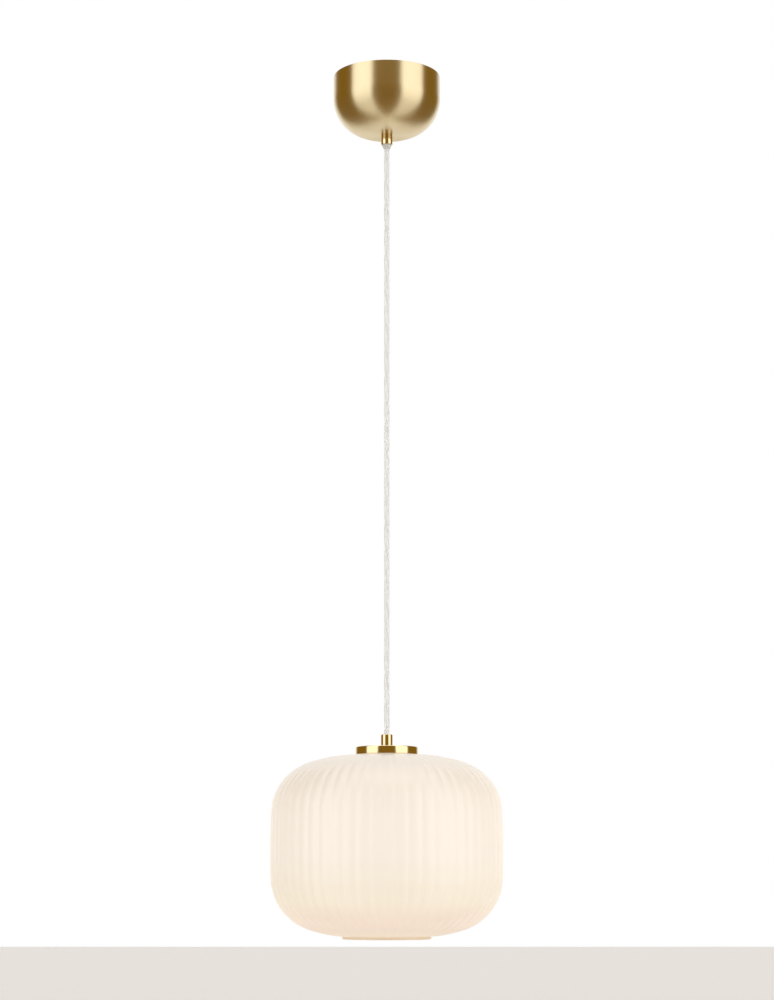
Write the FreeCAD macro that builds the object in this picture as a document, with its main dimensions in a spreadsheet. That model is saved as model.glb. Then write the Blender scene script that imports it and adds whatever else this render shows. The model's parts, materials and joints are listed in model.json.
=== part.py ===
"""Pendant ceiling light: brass canopy, clear cord and a fluted opal glass shade.

Millimetres. The origin is the centre of the canopy's rim on the ceiling, +Z points up,
so the whole lamp hangs below z = 0. Every piece turns round the Z axis unless it says otherwise.
"""

import FreeCAD, Part
import os
import re
import Sketcher
from FreeCAD import Vector

SIZES = {
    # canopy and the bracket inside it
    "canopy_radius": 60.0,
    "canopy_depth": 67.5,
    "canopy_corner": 42.0,
    "canopy_wall": 0.8,
    "foot_gap": 9.2,
    "bracket_leg": 24.0,
    "bracket_gap": 11.5,
    "bracket_width": 20.0,
    "bracket_metal": 1.5,
    "slot_shift": 1.0,
    "slot_length": 12.0,
    "slot_width": 4.5,
    "block_length": 17.0,
    "block_depth": 12.0,
    "block_height": 14.0,
    "block_lift": 30.0,
    "terminal_pitch": 8.0,
    "terminal_bore": 1.6,
    "small_screw": 1.5,
    "clamp_head": 2.1,
    "pan_head": 2.85,
    # threaded nipples and their nuts
    "nipple_radius": 5.0,
    "nipple_gap": 0.8,
    "thread_gap": 0.05,
    "nut_wall": 2.0,
    "nut_height": 4.0,
    "washer_rim": 4.0,
    "washer_metal": 1.0,
    "nipple_end": 1.5,
    # cord and the grips at its two ends
    "cord_radius": 2.95,
    "cord_gap": 0.4,
    "free_cord": 658.0,
    "pivot_gap": 0.5,
    "core_radius": 1.15,
    "core_start": 1.3,
    "core_lead": 0.4,
    "core_bend": 5.0,
    "core_ease": 2.1,
    "core_grip": 6.0,
    "gland_wall": 1.4,
    "gland_edge": 0.4,
    "gland_length": 11.5,
    "gland_web": 0.8,
    "gland_thread": 6.5,
    "collet_length": 4.0,
    "collet_wall": 1.55,
    "collet_flange": 0.5,
    "collet_lip": 0.45,
    "running_gap": 0.1,
    "grip_wall": 1.3,
    "grip_length": 13.4,
    "grip_thread": 6.0,
    "grip_round": 0.8,
    "grub_drop": 4.81,
    # cap, glass and what clamps them together
    "cap_radius": 34.0,
    "cap_height": 8.3,
    "cap_wall": 2.0,
    "cap_round": 1.0,
    "gasket_thick": 0.5,
    "gasket_inset": 0.3,
    "shade_radius": 125.2,
    "upper_height": 100.1,
    "lower_height": 95.1,
    "glass_wall": 3.0,
    "flat_inset": 0.5,
    "neck_radius": 21.0,
    "collar_radius": 47.5,
    "collar_length": 2.7,
    "shoulder_radius": 55.6,
    "crown_radius": 74.4,
    "belly_radius": 59.9,
    "side_angle": 2.4,
    "shoulder_angle": 58.8,
    "crown_angle": 73.2,
    "belly_side_angle": 3.0,
    "belly_angle": 72.0,
    "collar_angle": 85.1,
    "seal_thick": 1.0,
    "plate_grip": 6.0,
    "plate_thick": 2.0,
    "boss_height": 3.0,
    "boss_gap": 0.5,
    # lampholder
    "spigot_wall": 2.5,
    "holder_wall": 2.0,
    "holder_step": 1.0,
    "holder_neck": 8.5,
    "holder_cap_height": 22.0,
    "holder_dome": 11.0,
    "holder_thread": 8.0,
    "skirt_overlap": 8.0,
    "socket_gap": 0.8,
    "plate_step": 0.6,
    "contact_thick": 10.0,
    "contact_metal": 0.8,
    "contact_width": 4.0,
    "side_width": 3.0,
    "core_spread": 6.5,
    # lamp bulb
    "bulb_gap": 0.3,
    "rim_gap": 1.2,
    "bulb_cap_radius": 13.1,
    "bulb_cap_length": 22.0,
    "bulb_metal": 0.4,
    "button_radius": 4.8,
    "button_height": 1.0,
    "cone_height": 4.0,
    "cap_shoulder": 1.965,
    "housing_length": 35.0,
    "neck_step": 1.2,
    "globe_radius": 30.0,
    "globe_mouth": 25.4,
    "bulb_wall": 1.2,
    "board_gap": 1.0,
}

SLOT_END = 1.0001

document = FreeCAD.newDocument("PendantLight")
sheet = document.addObject("Spreadsheet::Sheet", "Sizes")
for row, (alias, number) in enumerate(SIZES.items(), 1):
    sheet.set(f"A{row}", alias.replace("_", " "))
    sheet.set(f"B{row}", str(number))
    sheet.setAlias(f"B{row}", alias)
places = document.addObject("App::VarSet", "Places")
nodes = []


# ---------------------------------------------------------------- helpers

def tied(text):
    """Expression text with each size and place written as its own cell or property."""
    def owner(word):
        name = word.group(0)
        if name in SIZES:
            return "Sizes." + name
        if name in places.PropertiesList:
            return "Places." + name
        return name
    return re.sub(r"[a-z_]+", owner, text)


def place(name, text):
    """A derived size or height, kept as a property bound to the sheet."""
    places.addProperty("App::PropertyFloat", name, "Derived")
    places.setExpression(name, tied(text))
    document.recompute()


def value(text):
    """Present value of an expression."""
    return float(sheet.evalExpression(tied(text)))


def arc_between(start, end, radius):
    """Short arc from start to end; a positive radius bulges to the left of the way."""
    chord = end - start
    sag = abs(radius) - (radius ** 2 - (chord.Length / 2) ** 2) ** 0.5
    left = Vector(-chord.y, chord.x, 0).normalize()
    middle = (start + end) / 2 + left * sag * (1 if radius > 0 else -1)
    return Part.Arc(start, middle, end)


def pin(sketch, edge, end, across, up):
    """Hold one end of an edge at its two expressions."""
    for kind, axis, text in (("DistanceX", -2, across), ("DistanceY", -1, up)):
        if text == "0":
            sketch.addConstraint(Sketcher.Constraint("PointOnObject", edge, end, axis))
            continue
        index = sketch.addConstraint(Sketcher.Constraint(kind, -1, 1, edge, end, value(text)))
        sketch.setExpression(f"Constraints[{index}]", tied(text))


def origin_plane(body, role):
    return next(item for item in body.Origin.OriginFeatures if item.Role == role)


def new_sketch(body, name, role):
    sketch = body.newObject("Sketcher::SketchObject", name)
    sketch.AttachmentSupport = [(origin_plane(body, role), "")]
    sketch.MapMode = "FlatFace"
    return sketch


def outline(body, name, role, corners, closed=True):
    """Sketch through corners (across, up) or (across, up, radius of the arc that leaves it)."""
    sketch = new_sketch(body, name, role)
    points = [Vector(value(corner[0]), value(corner[1]), 0) for corner in corners]
    count = len(corners) if closed else len(corners) - 1
    ends = []
    for index in range(count):
        start, end = points[index], points[(index + 1) % len(points)]
        bend = corners[index][2] if len(corners[index]) > 2 else None
        if bend is None:
            edge = sketch.addGeometry(Part.LineSegment(start, end), False)
        else:
            edge = sketch.addGeometry(arc_between(start, end, value(bend)), False)
            held = sketch.addConstraint(Sketcher.Constraint("Radius", edge, abs(value(bend))))
            sketch.setExpression(f"Constraints[{held}]", tied(f"abs({bend})"))
        first = 1 if sketch.getPoint(edge, 1).isEqual(start, 1e-6) else 2
        ends.append((edge, first, 3 - first))
    for index, (edge, first, last) in enumerate(ends):
        pin(sketch, edge, first, corners[index][0], corners[index][1])
        if closed or index:
            before = ends[index - 1]
            sketch.addConstraint(Sketcher.Constraint("Coincident", before[0], before[2], edge, first))
    if not closed:
        pin(sketch, ends[-1][0], ends[-1][2], corners[-1][0], corners[-1][1])
    return sketch


def ring(sketch, radius, across="0", up="0"):
    """A circle in a sketch."""
    middle = Vector(value(across), value(up), 0)
    edge = sketch.addGeometry(Part.Circle(middle, Vector(0, 0, 1), value(radius)), False)
    held = sketch.addConstraint(Sketcher.Constraint("Radius", edge, value(radius)))
    sketch.setExpression(f"Constraints[{held}]", tied(radius))
    if across == "0" and up == "0":
        sketch.addConstraint(Sketcher.Constraint("Coincident", edge, 3, -1, 1))
    else:
        pin(sketch, edge, 3, across, up)


def put(piece, **stations):
    """Bind the piece's Placement, axis by axis."""
    for axis, text in stations.items():
        piece.setExpression(f"Placement.Base.{axis}", tied(text))


def new_body(name, station="0"):
    body = document.addObject("PartDesign::Body", name)
    put(body, z=station)
    nodes.append(body)
    return body


def turned(name, station, corners):
    """A solid turned round Z from an outline of (radius, height) corners."""
    body = new_body(name, station)
    solid = body.newObject("PartDesign::Revolution", name + "_turned")
    solid.Profile = outline(body, name + "_outline", "XZ_Plane", corners)
    solid.ReferenceAxis = (solid.Profile[0], ["V_Axis"])
    solid.Angle = 360
    return body


def sleeve(name, station, outer, inner, height):
    """A plain tube or ring that hangs down from its station."""
    return turned(name, station, [
        (inner, "0"), (outer, "0"), (outer, f"-({height})"), (inner, f"-({height})")])


def rod(name, station, radius, height):
    """A plain round bar or disc that hangs down from its station."""
    return turned(name, station, [
        ("0", "0"), (radius, "0"), (radius, f"-({height})"), ("0", f"-({height})")])


def pocket(body, sketch, name, **lengths):
    """Cut a sketch out of a body, and make sure that something was cut."""
    document.recompute()
    before = body.Shape.Volume
    cut = body.newObject("PartDesign::Pocket", name)
    cut.Profile = sketch
    cut.Midplane = True
    for prop, text in lengths.items():
        cut.setExpression(prop, tied(text))
    document.recompute()
    if body.Shape.Volume > before - 1e-3:
        raise RuntimeError(f"{name} cuts nothing")


def hex_nut(name, station):
    """Hexagon nut on a nipple, hanging down from its station."""
    body = new_body(name, station)
    sketch = new_sketch(body, name + "_hexagon", "XY_Plane")
    corner = "nut_flats / sqrt(3)"
    reach = value(corner)
    points = [FreeCAD.Rotation(Vector(0, 0, 1), 60 * turn) * Vector(reach, 0, 0) for turn in range(6)]
    for index in range(6):
        sketch.addGeometry(Part.LineSegment(points[index], points[(index + 1) % 6]), False)
    for index in range(6):
        sketch.addConstraint(Sketcher.Constraint("Coincident", index, 2, (index + 1) % 6, 1))
    guide = sketch.addGeometry(Part.Circle(Vector(), Vector(0, 0, 1), reach), True)
    sketch.addConstraint(Sketcher.Constraint("Coincident", guide, 3, -1, 1))
    for index in range(6):
        sketch.addConstraint(Sketcher.Constraint("PointOnObject", index, 1, guide))
    for index in range(1, 6):
        sketch.addConstraint(Sketcher.Constraint("Equal", 0, index))
    sketch.addConstraint(Sketcher.Constraint("PointOnObject", 0, 1, -1))
    held = sketch.addConstraint(Sketcher.Constraint("Radius", guide, reach))
    sketch.setExpression(f"Constraints[{held}]", tied(corner))
    ring(sketch, "nipple_radius + thread_gap")
    pad = body.newObject("PartDesign::Pad", name + "_pad")
    pad.Profile = sketch
    pad.Reversed = True
    pad.setExpression("Length", tied("nut_height"))
    return body


def core(name, station, bend, reach, tail, way):
    """One insulated core: straight lead, two equal bends towards +X, straight tail.

    It runs up from its station for way 1, or down for way -1.
    """
    lead = "core_lead"
    body = new_body(name, station)
    spine = outline(body, name + "_route", "XZ_Plane", [
        ("0", "0"),
        ("0", f"{way} * {lead}", f"{way} * ({bend})"),
        (bend, f"{way} * ({lead} + {bend})"),
        (f"{reach} - {bend}", f"{way} * ({lead} + {bend})", f"{-way} * ({bend})"),
        (reach, f"{way} * ({lead} + 2 * {bend})"),
        (reach, f"{way} * ({lead} + 2 * {bend} + {tail})")], closed=False)
    section = new_sketch(body, name + "_section", "XY_Plane")
    ring(section, "core_radius")
    pipe = body.newObject("PartDesign::AdditivePipe", name + "_pipe")
    pipe.Profile = section
    pipe.Spine = (spine, [])
    return body


# ---------------------------------------------------------------- heights, from the ceiling down

place("bracket_drop", "canopy_depth - bracket_gap")
place("floor_top", "-bracket_drop + bracket_metal")
place("gland_mouth", "-(canopy_depth + gland_length)")
place("collet_tip", "gland_mouth - collet_length")
place("swing_pivot", "collet_tip - pivot_gap")
place("grip_top", "collet_tip - free_cord")
place("rock_pivot", "grip_top + pivot_gap")
place("cap_top", "grip_top - grip_length")
place("cap_foot", "cap_top - cap_height")
place("glass_top", "cap_foot - gasket_thick")
place("seal_top", "glass_top - glass_wall")
place("plate_top", "seal_top - seal_thick")
place("nut_top", "plate_top - plate_thick")
place("holder_top", "nut_top - nut_height")
place("seam", "holder_top - holder_cap_height")
place("contact_top", "seam + skirt_overlap - running_gap")
place("contact_foot", "contact_top - contact_thick")
place("bulb_tip", "contact_foot - contact_metal - bulb_gap")
place("bulb_cap_top", "bulb_tip - button_height - cone_height")
place("housing_top", "bulb_cap_top - bulb_cap_length")
place("globe_top", "housing_top - housing_length")
place("upper_end_top", "floor_top + washer_metal + nut_height + 2 * nipple_end")


# ---------------------------------------------------------------- fits between the pieces

place("thread_bore", "nipple_radius + thread_gap")
place("nipple_bore", "cord_radius + nipple_gap")
place("nut_flats", "2 * (nipple_radius + nut_wall)")
place("washer_radius", "nipple_radius + washer_rim")
place("gland_radius", "nipple_radius + gland_wall")
place("grip_radius", "nipple_radius + grip_wall")
place("cord_bore", "cord_radius + cord_gap")
place("collet_stem", "cord_bore + collet_wall")
place("collet_radius", "collet_stem + collet_flange")
place("screw_bore", "small_screw + thread_gap")
place("bracket_half", "canopy_radius - canopy_wall - foot_gap")
place("slot_spacing", "bracket_half + bracket_leg + 2 * slot_shift")
place("block_rise", "bracket_drop - block_lift")
place("crown_flat", "cap_radius - flat_inset")
place("plate_radius", "neck_radius + plate_grip")
place("socket_radius", "bulb_cap_radius + socket_gap")
place("contact_plate", "socket_radius + plate_step")
place("holder_radius", "contact_plate + spigot_wall + holder_wall")
place("housing_neck", "bulb_cap_radius + neck_step")
place("cone_radius", "bulb_cap_radius - cap_shoulder")


# ---------------------------------------------------------------- canopy

def make_canopy_cup():
    """Deep spun cup, open at the ceiling, with a large rounded corner and a small flat."""
    inner = "canopy_radius - canopy_wall"
    flat = "canopy_radius - canopy_corner"
    bend = "-(canopy_depth - canopy_corner)"
    turned("canopy_cup", "0", [
        ("thread_bore", "-canopy_depth"),
        (flat, "-canopy_depth", "-canopy_corner"),
        ("canopy_radius", bend),
        ("canopy_radius", "0"),
        (inner, "0"),
        (inner, bend, "canopy_corner - canopy_wall"),
        (flat, "-(canopy_depth - canopy_wall)"),
        ("thread_bore", "-(canopy_depth - canopy_wall)")])


def make_ceiling_bracket():
    """Strap bent to a deep U: two slotted feet on the ceiling and a floor for the nipple."""
    body = new_body("ceiling_bracket")
    leg = "bracket_leg - bracket_metal"
    right = [
        (leg, "floor_top"), (leg, "0"), ("bracket_half", "0"), ("bracket_half", "-bracket_metal"),
        ("bracket_leg", "-bracket_metal"), ("bracket_leg", "-bracket_drop")]
    left = [(f"-({across})", up) for across, up in reversed(right)]
    strap = body.newObject("PartDesign::Pad", "bracket_strap")
    strap.Profile = outline(body, "bracket_outline", "XZ_Plane", right + left)
    strap.Midplane = True
    strap.setExpression("Length", tied("bracket_width"))
    middle = new_sketch(body, "bracket_hole", "XY_Plane")
    ring(middle, "thread_bore")
    pocket(body, middle, "bracket_middle_hole", Length="3 * bracket_drop")
    for side, name in ((1, "right"), (-1, "left")):
        slot = bracket_slot(body, f"bracket_slot_{name}", side)
        pocket(body, slot, f"bracket_slot_{name}_cut", Length="3 * bracket_metal")
    screws = new_sketch(body, "bracket_screw_holes", "YZ_Plane")
    ring(screws, "screw_bore", "0", "-block_rise")
    pocket(body, screws, "bracket_screw_hole", Length="3 * bracket_leg")


def bracket_slot(body, name, side):
    """Slot along X in one foot; its end arcs are a hair flatter than half circles."""
    half = "slot_width / 2"
    run = "(slot_length - slot_width) / 2"
    end = f"-{half} * {SLOT_END}"
    middle = f"{side} * slot_spacing / 2"
    return outline(body, name, "XY_Plane", [
        (f"{middle} - {run}", f"-{half}"),
        (f"{middle} + {run}", f"-{half}", end),
        (f"{middle} + {run}", half),
        (f"{middle} - {run}", half, end)])


def make_canopy_nipple():
    """Hollow threaded tube from above the bracket's floor down into the gland."""
    top = "floor_top + washer_metal + nut_height + nipple_end"
    sleeve("canopy_nipple", top, "nipple_radius", "nipple_bore",
           f"{top} + canopy_depth + gland_thread")
    sleeve("bracket_washer", "floor_top + washer_metal", "washer_radius", "thread_bore", "washer_metal")
    hex_nut("bracket_nut_upper", "floor_top + washer_metal + nut_height")
    hex_nut("bracket_nut_lower", "-bracket_drop")


def make_gland():
    """Brass gland that pulls the canopy up, and the clear collet that turns in its mouth."""
    thread = "-(gland_thread + thread_gap)"
    web = f"{thread} - gland_web"
    turned("gland_body", "-canopy_depth", [
        ("thread_bore", "0"),
        ("gland_radius", "0"),
        ("gland_radius", "-gland_length + gland_edge"),
        ("gland_radius - gland_edge", "-gland_length"),
        ("collet_stem + running_gap", "-gland_length"),
        ("collet_stem + running_gap", web),
        ("cord_bore", web),
        ("cord_bore", thread),
        ("thread_bore", thread)])
    stem = "gland_length - gland_thread - gland_web - 2 * running_gap - thread_gap"
    turned("cord_collet", "gland_mouth - running_gap", [
        ("cord_bore", stem),
        ("collet_stem", stem),
        ("collet_stem", "0"),
        ("collet_radius", "0"),
        ("collet_radius", "-collet_lip"),
        ("cord_bore + collet_lip", "-(collet_length - running_gap)"),
        ("cord_bore", "-(collet_length - running_gap)")])


# ---------------------------------------------------------------- wiring in the canopy

def make_terminal_block():
    """Two-way screw terminal on the inside of the bracket's right leg."""
    body = new_body("terminal_block")
    put(body, x="bracket_leg - bracket_metal - block_depth / 2", z="-block_rise")
    half = "block_length / 2"
    deep = "block_depth / 2"
    solid = body.newObject("PartDesign::Pad", "block_pad")
    solid.Profile = outline(body, "block_outline", "XY_Plane", [
        (f"-{deep}", f"-{half}"), (deep, f"-{half}"), (deep, half), (f"-{deep}", half)])
    solid.Midplane = True
    solid.setExpression("Length", tied("block_height"))
    wires = new_sketch(body, "block_wire_holes", "XY_Plane")
    for side in (1, -1):
        ring(wires, "terminal_bore", "0", f"{side} * terminal_pitch / 2")
    pocket(body, wires, "block_wire_cut", Length="2 * block_height")
    screws = new_sketch(body, "block_screw_holes", "YZ_Plane")
    ring(screws, "screw_bore")
    for row in (1, -1):
        for side in (1, -1):
            ring(screws, "screw_bore", f"{side} * terminal_pitch / 2", f"{row} * block_height / 4")
    pocket(body, screws, "block_screw_cut", Length="2 * block_depth")


def screw(name, head, length, axis, **where):
    """Screw with a round head, its shank running along axis from the place that is given."""
    shank = document.addObject("Part::Cylinder", name + "_shank")
    shank.setExpression("Radius", tied("small_screw"))
    shank.setExpression("Height", tied(length))
    top = document.addObject("Part::Cylinder", name + "_head")
    top.setExpression("Radius", tied(head))
    top.setExpression("Height", tied("small_screw"))
    put(top, z="-small_screw")
    both = document.addObject("Part::Fuse", name)
    both.Base = shank
    both.Tool = top
    both.Placement.Rotation = FreeCAD.Rotation(Vector(0, 0, 1), axis)
    put(both, **where)
    return both


def make_terminal_screws():
    """Four clamping screws, two over each wire hole, driven from the block's open side."""
    face = "bracket_leg - bracket_metal - block_depth"
    group = []
    for row in (1, -1):
        for side in (1, -1):
            reach = "block_depth / 2 - terminal_bore"
            group.append(screw(
                f"clamp_{len(group) + 1}", "clamp_head", reach, Vector(1, 0, 0), x=face,
                y=f"{side} * terminal_pitch / 2", z=f"-block_rise + {row} * block_height / 4"))
    node = document.addObject("Part::Compound", "terminal_screws")
    node.Links = group
    nodes.append(node)


def make_bracket_screws():
    """The screw that holds the block on the right leg, and the earth screw on the left leg."""
    nodes.append(screw("block_screw", "pan_head", "bracket_metal + block_depth / 2",
                       Vector(-1, 0, 0), x="bracket_leg", z="-block_rise"))
    nodes.append(screw("earth_screw", "pan_head", "2 * bracket_metal",
                       Vector(1, 0, 0), x="-bracket_leg", z="-block_rise"))


def make_upper_wiring():
    """End of the cord inside the nipple, and its two cores bent over to the terminals."""
    rod("upper_cord_end", "upper_end_top", "cord_radius",
        "upper_end_top - swing_pivot - cord_radius - pivot_gap")
    reach = "(bracket_leg - bracket_metal - block_depth / 2)"
    spread = "(terminal_pitch / 2 - core_start)"
    tail = "-block_rise - block_height / 2 - upper_end_top - core_lead - 2 * core_bend + core_grip"
    for name, side in (("upper_live_core", 1), ("upper_neutral_core", -1)):
        body = core(name, "upper_end_top", "core_bend", f"sqrt({reach}^2 + {spread}^2)", tail, 1)
        body.Placement.Rotation = FreeCAD.Rotation(Vector(0, 0, side), abs(side))
        body.setExpression("Placement.Rotation.Angle", tied(f"atan2({spread}; {reach})"))
        put(body, y=f"{side} * core_start")


# ---------------------------------------------------------------- hanging cord and shade fitting

def make_hanging_cord():
    """The straight cord between the two grips; its ball ends turn inside them."""
    length = "(swing_pivot - rock_pivot)"
    turned("hanging_cord", "swing_pivot", [
        ("0", "cord_radius", "cord_radius"),
        ("cord_radius", "0"),
        ("cord_radius", f"-{length}", "cord_radius"),
        ("0", f"-{length} - cord_radius")])


def make_shade_grip():
    """Brass cord grip on the cap, with a grub screw at the back."""
    thread = "-grip_length + grip_thread"
    body = turned("lower_cord_grip", "grip_top", [
        ("cord_bore", "0"),
        ("grip_radius - grip_round", "0", "grip_round"),
        ("grip_radius", "-grip_round"),
        ("grip_radius", "-grip_length"),
        ("thread_bore", "-grip_length"),
        ("thread_bore", thread),
        ("cord_bore", thread)])
    hole = outline(body, "grip_screw_outline", "YZ_Plane", [
        ("0", "-grub_drop - screw_bore"), ("grip_radius + grip_round", "-grub_drop - screw_bore"),
        ("grip_radius + grip_round", "-grub_drop"), ("0", "-grub_drop")])
    cut = body.newObject("PartDesign::Groove", "grip_screw_hole")
    cut.Profile = hole
    cut.ReferenceAxis = (hole, ["Edge3"])
    cut.Angle = 360
    grub = document.addObject("Part::Cylinder", "grip_screw")
    grub.Placement.Rotation = FreeCAD.Rotation(Vector(0, 0, 1), Vector(0, 1, 0))
    grub.setExpression("Radius", tied("small_screw"))
    grub.setExpression("Height", tied("grip_radius - cord_radius - thread_gap"))
    put(grub, y="cord_radius + thread_gap", z="grip_top - grub_drop")
    nodes.append(grub)


def make_cap():
    """Shallow brass cap over the glass, and the nipple that holds the shade together."""
    inner = "cap_radius - cap_wall"
    turned("cap_disc", "cap_top", [
        ("thread_bore", "0"),
        ("cap_radius - cap_round", "0", "cap_round"),
        ("cap_radius", "-cap_round"),
        ("cap_radius", "-cap_height"),
        (inner, "-cap_height"),
        (inner, "-cap_wall"),
        ("thread_bore", "-cap_wall")])
    sleeve("cap_gasket", "cap_foot", "cap_radius - gasket_inset", f"{inner} - gasket_inset",
           "gasket_thick")
    top = "(cap_top + grip_thread - thread_gap)"
    sleeve("shade_nipple", top, "nipple_radius", "nipple_bore",
           f"{top} - holder_top + holder_thread - nipple_end")


def make_clamp():
    """Seal, clamp plate and nut that hold the glass from inside."""
    sleeve("glass_seal", "seal_top", "plate_radius", "neck_radius + boss_gap", "seal_thick")
    boss = "neck_radius - boss_gap"
    turned("clamp_plate", "plate_top", [
        ("thread_bore", "boss_height"), (boss, "boss_height"), (boss, "0"), ("plate_radius", "0"),
        ("plate_radius", "-plate_thick"), ("thread_bore", "-plate_thick")])
    hex_nut("shade_nut", "nut_top")


# ---------------------------------------------------------------- glass

def closing_radii(name, height, width, side, inner, outer):
    """Radii of the first and last arc of a wall whose other arcs and angles are known.

    Together they climb by height and come in by width; the first one runs from upright to the
    side angle, the last one from the inner to the outer angle.
    """
    climb = f"(sin({outer}) - sin({inner}))"
    come_in = f"(cos({inner}) - cos({outer}))"
    whole = f"(sin({side}) * {come_in} - (1 - cos({side})) * {climb})"
    place(f"{name}_side_radius", f"(({height}) * {come_in} - ({width}) * {climb}) / {whole}")
    place(f"{name}_end_radius",
          f"(({width}) * sin({side}) - ({height}) * (1 - cos({side}))) / {whole}")


def wall_run(arcs, way, inset):
    """Corners and radii of tangent arcs from the widest ring up (way 1) or down (way -1)."""
    across, up = f"shade_radius - {inset}", "-upper_height"
    corners, radii = [(across, up)], []
    for radius, start, end in arcs:
        bend = f"({radius} - {inset})"
        across = f"{across} - {bend} * (cos({start}) - cos({end}))"
        up = f"{up} + {way} * {bend} * (sin({end}) - sin({start}))"
        corners.append((across, up))
        radii.append(bend)
    return corners, radii


def make_glass():
    """Blown glass shade: flat neck, round shoulders, upright sides and an open collar."""
    closing_radii(
        "upper",
        "upper_height - shoulder_radius * (sin(shoulder_angle) - sin(side_angle))"
        " - crown_radius * (sin(crown_angle) - sin(shoulder_angle))",
        "shade_radius - crown_flat - shoulder_radius * (cos(side_angle) - cos(shoulder_angle))"
        " - crown_radius * (cos(shoulder_angle) - cos(crown_angle))",
        "side_angle", "crown_angle", "90")
    closing_radii(
        "lower",
        "lower_height - collar_length"
        " - belly_radius * (sin(belly_angle) - sin(belly_side_angle))",
        "shade_radius - collar_radius"
        " - belly_radius * (cos(belly_side_angle) - cos(belly_angle))",
        "belly_side_angle", "belly_angle", "collar_angle")
    upper = [
        ("upper_side_radius", "0", "side_angle"), ("shoulder_radius", "side_angle", "shoulder_angle"),
        ("crown_radius", "shoulder_angle", "crown_angle"), ("upper_end_radius", "crown_angle", "90")]
    lower = [
        ("lower_side_radius", "0", "belly_side_angle"),
        ("belly_radius", "belly_side_angle", "belly_angle"),
        ("lower_end_radius", "belly_angle", "collar_angle")]
    skin = {}
    for side, inset in (("outer", "0"), ("inner", "glass_wall")):
        above, above_radii = wall_run(upper, 1, inset)
        below, below_radii = wall_run(lower, -1, inset)
        skin[side] = above[::-1] + below[1:], above_radii[::-1] + below_radii
    foot = "-(upper_height + lower_height)"
    outer, outer_radii = skin["outer"]
    inner, inner_radii = skin["inner"]
    corners = [("neck_radius", "0")]
    corners += [(*corner, radius) for corner, radius in zip(outer, outer_radii)]
    corners += [outer[-1], ("collar_radius", foot), ("collar_radius - glass_wall", foot)]
    corners += [("collar_radius - glass_wall", inner[-1][1])]
    corners += [(*corner, f"-{radius}") for corner, radius in zip(inner[::-1], inner_radii[::-1])]
    corners += [inner[0], ("neck_radius", "-glass_wall")]
    turned("glass_shade", "glass_top", corners)


# ---------------------------------------------------------------- lampholder

def make_lampholder():
    """Domed cap on the nipple and the skirt that screws into it."""
    inner = "holder_radius - holder_wall"
    dome = "(holder_radius - holder_neck)"
    shelf = "(holder_wall + holder_step)"
    turned("lampholder_cap", "holder_top", [
        ("thread_bore", "0"),
        ("holder_neck", "0"),
        ("holder_neck", f"-{shelf}", "holder_dome"),
        ("holder_radius", f"-{shelf} - {dome} + holder_wall"),
        ("holder_radius", "-holder_cap_height"),
        (inner, "-holder_cap_height"),
        (inner, f"-{shelf} - {dome} + holder_wall", "-(holder_dome - holder_wall)"),
        ("holder_neck", f"-{shelf} - holder_wall"),
        ("holder_neck - thread_gap", "-holder_thread"),
        ("thread_bore", "-holder_thread")])
    spigot = f"{inner} - thread_gap"
    bore = "contact_plate + thread_gap"
    ledge = "-(contact_thick + running_gap)"
    foot = "housing_top + rim_gap - contact_top - running_gap"
    turned("lampholder_skirt", "contact_top + running_gap", [
        (bore, "0"),
        (spigot, "0"),
        (spigot, "-skirt_overlap"),
        ("holder_radius", "-skirt_overlap"),
        ("holder_radius", foot),
        ("socket_radius", foot),
        ("socket_radius", ledge),
        (bore, ledge)])
    block = rod("contact_block", "contact_top", "contact_plate", "contact_thick")
    wires = new_sketch(block, "contact_wire_holes", "XY_Plane")
    for side in (1, -1):
        ring(wires, "core_radius + thread_gap", f"{side} * core_spread")
    pocket(block, wires, "contact_wire_cut", Length="contact_thick")


def strip(name, width, length, height, **where):
    """A flat spring strip, centred on its place in X and Y and hanging down from it."""
    piece = document.addObject("Part::Box", name)
    piece.setExpression("Length", tied(width))
    piece.setExpression("Width", tied(length))
    piece.setExpression("Height", tied(height))
    put(piece, x=f"{where['x']} - ({width}) / 2", y=f"-({length}) / 2", z=f"{where['z']} - ({height})")
    nodes.append(piece)


def make_contacts():
    """Centre tongue under the block, and the side strip beside the bulb's screw cap."""
    strip("centre_contact", "2 * core_spread", "contact_width", "contact_metal",
          x="0", z="contact_foot")
    middle = "(bulb_cap_radius + running_gap * 2 + contact_metal / 4)"
    strip("side_contact", "contact_metal / 2", "side_width", "holder_cap_height / 2",
          x=middle, z="contact_foot - contact_metal")


def make_lower_wiring():
    """End of the cord in the shade's nipple, and its two cores spread to the contact block."""
    top = "(rock_pivot - cord_radius - pivot_gap)"
    foot = "(holder_top - holder_thread)"
    rod("lower_cord_end", top, "cord_radius", f"{top} - {foot}")
    bend = "(core_spread - core_start) / core_ease"
    tail = f"{foot} - core_lead - 2 * {bend} - contact_top + core_grip / 2"
    for name, side in (("lower_live_core", 1), ("lower_neutral_core", -1)):
        body = core(name, foot, bend, "(core_spread - core_start)", tail, -1)
        body.Placement.Rotation = FreeCAD.Rotation(Vector(0, 0, 1), 90 - 90 * side)
        put(body, x=f"{side} * core_start")


# ---------------------------------------------------------------- bulb

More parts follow.
